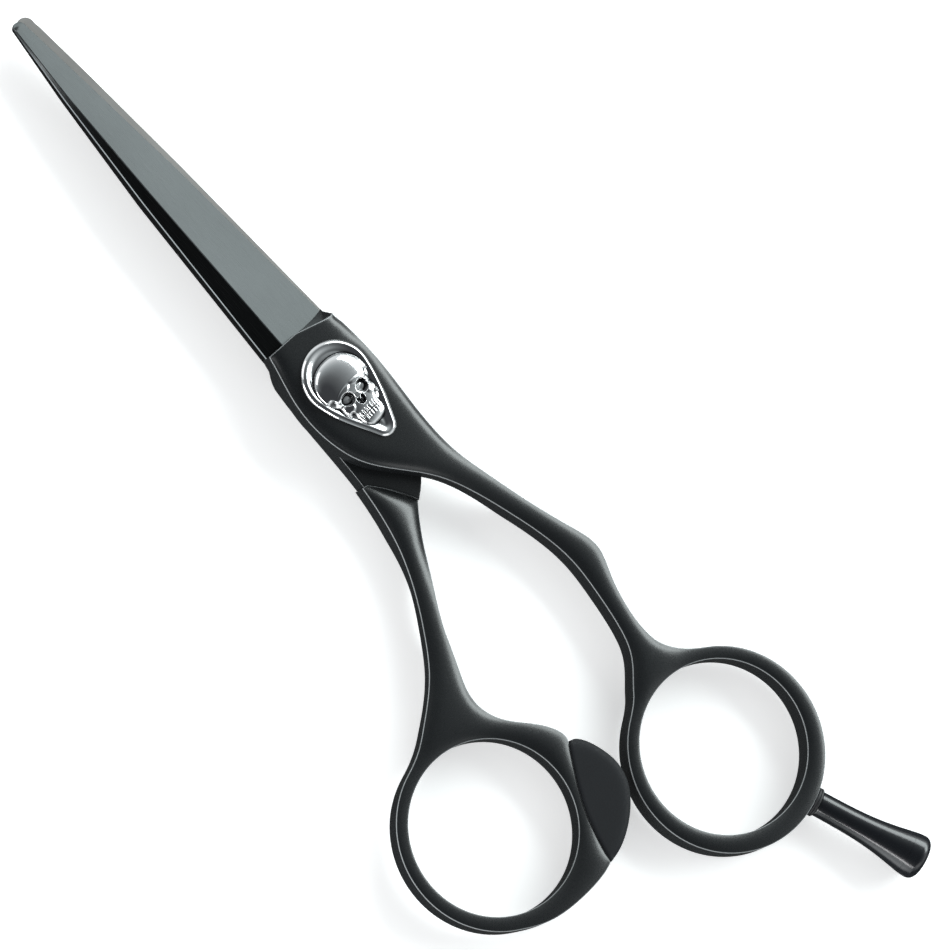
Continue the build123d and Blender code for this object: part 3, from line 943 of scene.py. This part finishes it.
def cap_piece():
    """Oval cap: a polished bevelled rim, a recess, and the relief on a gentle dome."""
    middle = np.array([-0.9, -0.4])
    count = len(CAP_OUTLINE)
    shares = 1.0 - np.linspace(0, 1, 110)[:-1] ** 1.15
    grid = middle + (CAP_OUTLINE - middle)[None, :, :] * shares[:, None, None]
    flat = grid.reshape(-1, 2)
    edge_gap = nearest(flat, CAP_OUTLINE)
    lean = radians(4.0)
    du, dv = flat[:, 0] + 0.7, flat[:, 1] + 0.35
    u, v = du * cos(lean) + dv * sin(lean), -du * sin(lean) + dv * cos(lean)
    bevel = 0.32 * np.sqrt(smoothstep(edge_gap, 0.0, 0.50))
    bevel = bevel - 0.34 * smoothstep(edge_gap, 0.45, 1.5)
    ground = 0.16 * smoothstep(edge_gap, 1.0, 2.6)
    relief = skull(u, v) * smoothstep(edge_gap, 0.5, 0.85) - 0.02
    height = bevel + np.maximum(ground, relief)
    height = height.reshape(len(shares), count)

    def evened(field):
        return 0.5 * field + 0.25 * (np.roll(field, 1, axis=1) + np.roll(field, -1, axis=1))

    for _ in range(2):
        height = evened(height)
    wide = height.copy()
    for _ in range(24):
        wide = evened(wide)
        wide[1:-1] = 0.5 * wide[1:-1] + 0.25 * (wide[2:] + wide[:-2])
    recess = smoothstep(wide - height, 0.01, 0.085)
    shell = Shell()
    rings = []
    for n in range(len(shares)):
        rings.append(shell.add(np.column_stack([grid[n], CAP_RIM + height[n]])))
    pole = shell.add([(middle[0], middle[1], CAP_RIM + float(height[-1].mean()))])[0]
    for first, second in zip(rings, rings[1:]):
        shell.strip(first, second)
    last = rings[-1]
    shell.faces += [(last[i], pole, last[(i + 1) % count]) for i in range(count)]
    foot = shell.add(np.column_stack([CAP_OUTLINE, np.full(count, CAP_FOOT)]))
    shell.strip(foot, rings[0])
    shell.faces.append(tuple(foot))
    at_pole, at_foot = [0.0], np.full(count, 0.6)
    shell.attributes = {"recess": np.concatenate([recess.ravel(), at_pole, at_foot])}
    return shell.mesh("pivot_cap", 50.0)


finish_piece(cap_piece(), CHROME, "finger_half", "chrome", "skull_cap", weighted=False)


# ---------------------------------------------------------------- finger rest
JOINTS = {joint["name"]: joint for joint in frame["joints"]}
REST_WAY = Vector(JOINTS["rest_turn"]["axis"]).normalized()
REST_SEAT = Vector(JOINTS["rest_turn"]["pos_m"]) / MM
REST_LENGTH = 16.3
WASHER = 0.7         # thickness of the lock washer, where the rest starts
rest_profile = rounded(
    [(0.0, WASHER), (1.55, WASHER), (1.65, WASHER + 0.12), (1.66, 3.0), (1.72, 5.7),
     (1.88, 8.2), (2.16, 10.4), (2.56, 12.6), (2.90, 14.3), (2.92, 15.5), (2.2, 16.15),
     (0.0, REST_LENGTH)],
    (0.05, 0.1, 0.8, 1.2, 1.2, 1.1, 1.1, 0.8, 0.5, 0.5),
)
rest = turned_piece("finger_rest_tang", REST_SEAT, REST_WAY, rest_profile, 112, 40.0)
finish_piece(rest, REST_BLACK, "rest", "rest_coating", "finger_rest")
collar_profile = rounded(
    [(1.31, 0.0), (1.8, 0.0), (1.93, 0.12), (1.93, 0.28), (1.80, 0.35), (1.93, 0.42),
     (1.93, 0.58), (1.8, WASHER), (1.31, WASHER), (1.31, 0.0)],
    (0.0, 0.06, 0.04, 0.04, 0.04, 0.04, 0.06, 0.0),
    steps=3,
)
collar = turned_piece("rest_lock_washer", REST_SEAT, REST_WAY, collar_profile, 96)
finish_piece(collar, BLACK_NYLON, "rest_base", "black_nylon", "rest_washer")


# ---------------------------------------------------------------- nodes that keep their solids
CARRIED = {
    "pivot_nut": STEEL,
    "tension_screw": STEEL,
    "click_plate": STEEL,
    "spring_washer": STEEL,
    "bumper_pins": STEEL,
    "rest_stud": STEEL,
    "pivot_bushing": BRONZE,
    "ride_washer": NYLON,
}
for node, material in CARRIED.items():
    mesh = frame["nodes"][node].data
    mesh.materials.clear()
    mesh.materials.append(material)


# ---------------------------------------------------------------- floor, light and camera
AIM = (-0.02, 0.0, 0.0)
FLOOR_GLOW = 0.50


def area_light(name, place, width, height, radiance, color=(1.0, 1.0, 1.0)):
    """Soft box facing the shears, with its strength given as radiance; all in metres."""
    data = bpy.data.lights.new(name, "AREA")
    data.shape = "RECTANGLE"
    data.size = width
    data.size_y = height
    data.energy = radiance * pi * width * height
    data.color = color
    lamp = bpy.data.objects.new(name, data)
    lamp.location = place
    lamp.rotation_mode = "QUATERNION"
    lamp.rotation_quaternion = (Vector(AIM) - Vector(place)).to_track_quat("-Z", "Y")
    bpy.context.scene.collection.objects.link(lamp)


def floor_piece():
    """Pale ground just under the shears, which only the camera and soft light see."""
    size = 3.0
    just_below = -0.00004
    corners = [(-size, -size, 0), (size, -size, 0), (size, size, 0), (-size, size, 0)]
    mesh = bpy.data.meshes.new("studio_floor")
    mesh.from_pydata(corners, [], [(0, 1, 2, 3)])
    floor = bpy.data.objects.new("studio_floor", mesh)
    bpy.context.scene.collection.objects.link(floor)
    floor.location = (0.0, 0.0, just_below)
    paper = coating("pale studio floor", (0.90, 0.90, 0.90), 0.85, specular=0.2, grain=400.0,
                    bump=0.02, mottle=0.01, mottle_scale=3.0)
    glow = paper.node_tree.nodes["Principled BSDF"]
    glow.inputs["Emission Color"].default_value = (1.0, 1.0, 1.0, 1.0)
    glow.inputs["Emission Strength"].default_value = FLOOR_GLOW
    mesh.materials.append(paper)
    floor.visible_glossy = False
    floor.visible_shadow = False


def studio_world():
    """Grey studio: dark overhead, a bright band on the thumb ring's side, a dark bench below."""
    world = bpy.data.worlds.new("studio")
    bpy.context.scene.world = world
    world.use_nodes = True
    tree = world.node_tree
    link = tree.links.new
    place = tree.nodes.new("ShaderNodeTexCoord")

    def facing(direction):
        """The cosine between a point of the studio's wall and a direction."""
        node = tree.nodes.new("ShaderNodeVectorMath")
        node.operation = "DOT_PRODUCT"
        node.inputs[1].default_value = Vector(direction).normalized()
        link(place.outputs["Generated"], node.inputs[0])
        return node.outputs["Value"]

    def toward(direction, low, high, start, end):
        """A value that goes from start to end as facing(direction) goes from low to high."""
        node = tree.nodes.new("ShaderNodeMapRange")
        node.interpolation_type = "SMOOTHSTEP"
        node.inputs["From Min"].default_value = low
        node.inputs["From Max"].default_value = high
        node.inputs["To Min"].default_value = start
        node.inputs["To Max"].default_value = end
        link(facing(direction), node.inputs["Value"])
        return node.outputs["Result"]

    def combine(operation, a, b):
        node = tree.nodes.new("ShaderNodeMath")
        node.operation = operation
        link(a, node.inputs[0])
        link(b, node.inputs[1])
        return node.outputs[0]

    ramp = tree.nodes.new("ShaderNodeValToRGB")
    link(facing((-0.05, 0.37, 0.93)), ramp.inputs["Fac"])
    stops = ramp.color_ramp.elements
    stops[0].position = 0.15
    stops[0].color = (0.86, 0.90, 0.91, 1.0)
    stops[1].position = 0.95
    stops[1].color = (0.050, 0.053, 0.058, 1.0)
    stops.new(0.55).color = (0.36, 0.39, 0.40, 1.0)
    stops.new(0.80).color = (0.13, 0.14, 0.145, 1.0)
    bench = toward((0.0, 0.0, 1.0), -0.12, 0.06, 0.07, 1.0)
    band = toward((-0.08, 0.985, -0.10), 0.84, 0.96, 0.0, 3.0)
    back = tree.nodes["Background"]
    link(ramp.outputs["Color"], back.inputs["Color"])
    link(combine("ADD", bench, band), back.inputs["Strength"])


def photo_camera():
    """Long lens from the thumb ring's side, with the blade tips at the upper left."""
    target = Vector((-18.96, -5.67, 6.5)) * MM
    back = Vector((0.0776, 0.350, 0.934)).normalized()
    up = Vector((0.749, -0.663, 0.0))
    up = Matrix.Rotation(radians(-1.88), 3, back) @ (up - back * up.dot(back)).normalized()
    right = up.cross(back)
    frame_width = 0.11875          # width of the view at the target, in metres
    data = bpy.data.cameras.new("photo_camera")
    data.sensor_width = 36.0
    data.lens = 400.0
    away = frame_width * data.lens / data.sensor_width
    data.clip_start = 0.01
    data.clip_end = 20.0
    camera = bpy.data.objects.new("photo_camera", data)
    bpy.context.scene.collection.objects.link(camera)
    turn = Matrix((right, up, back)).transposed().to_4x4()
    camera.matrix_world = Matrix.Translation(target + back * away) @ turn
    bpy.context.scene.camera = camera


floor_piece()
studio_world()
area_light("key_softbox", (-0.02, -0.60, 0.33), 1.10, 0.34, 6.5, (0.92, 1.0, 1.0))
area_light("edge_strip", (-0.02, 0.66, 0.24), 0.90, 0.10, 10.0)
area_light("side_softbox", (0.55, 0.25, 0.28), 0.40, 0.25, 1.2)
area_light("back_softbox", (-0.60, 0.20, 0.25), 0.40, 0.25, 1.0)
photo_camera()
bpy.context.scene.view_settings.view_transform = "Standard"
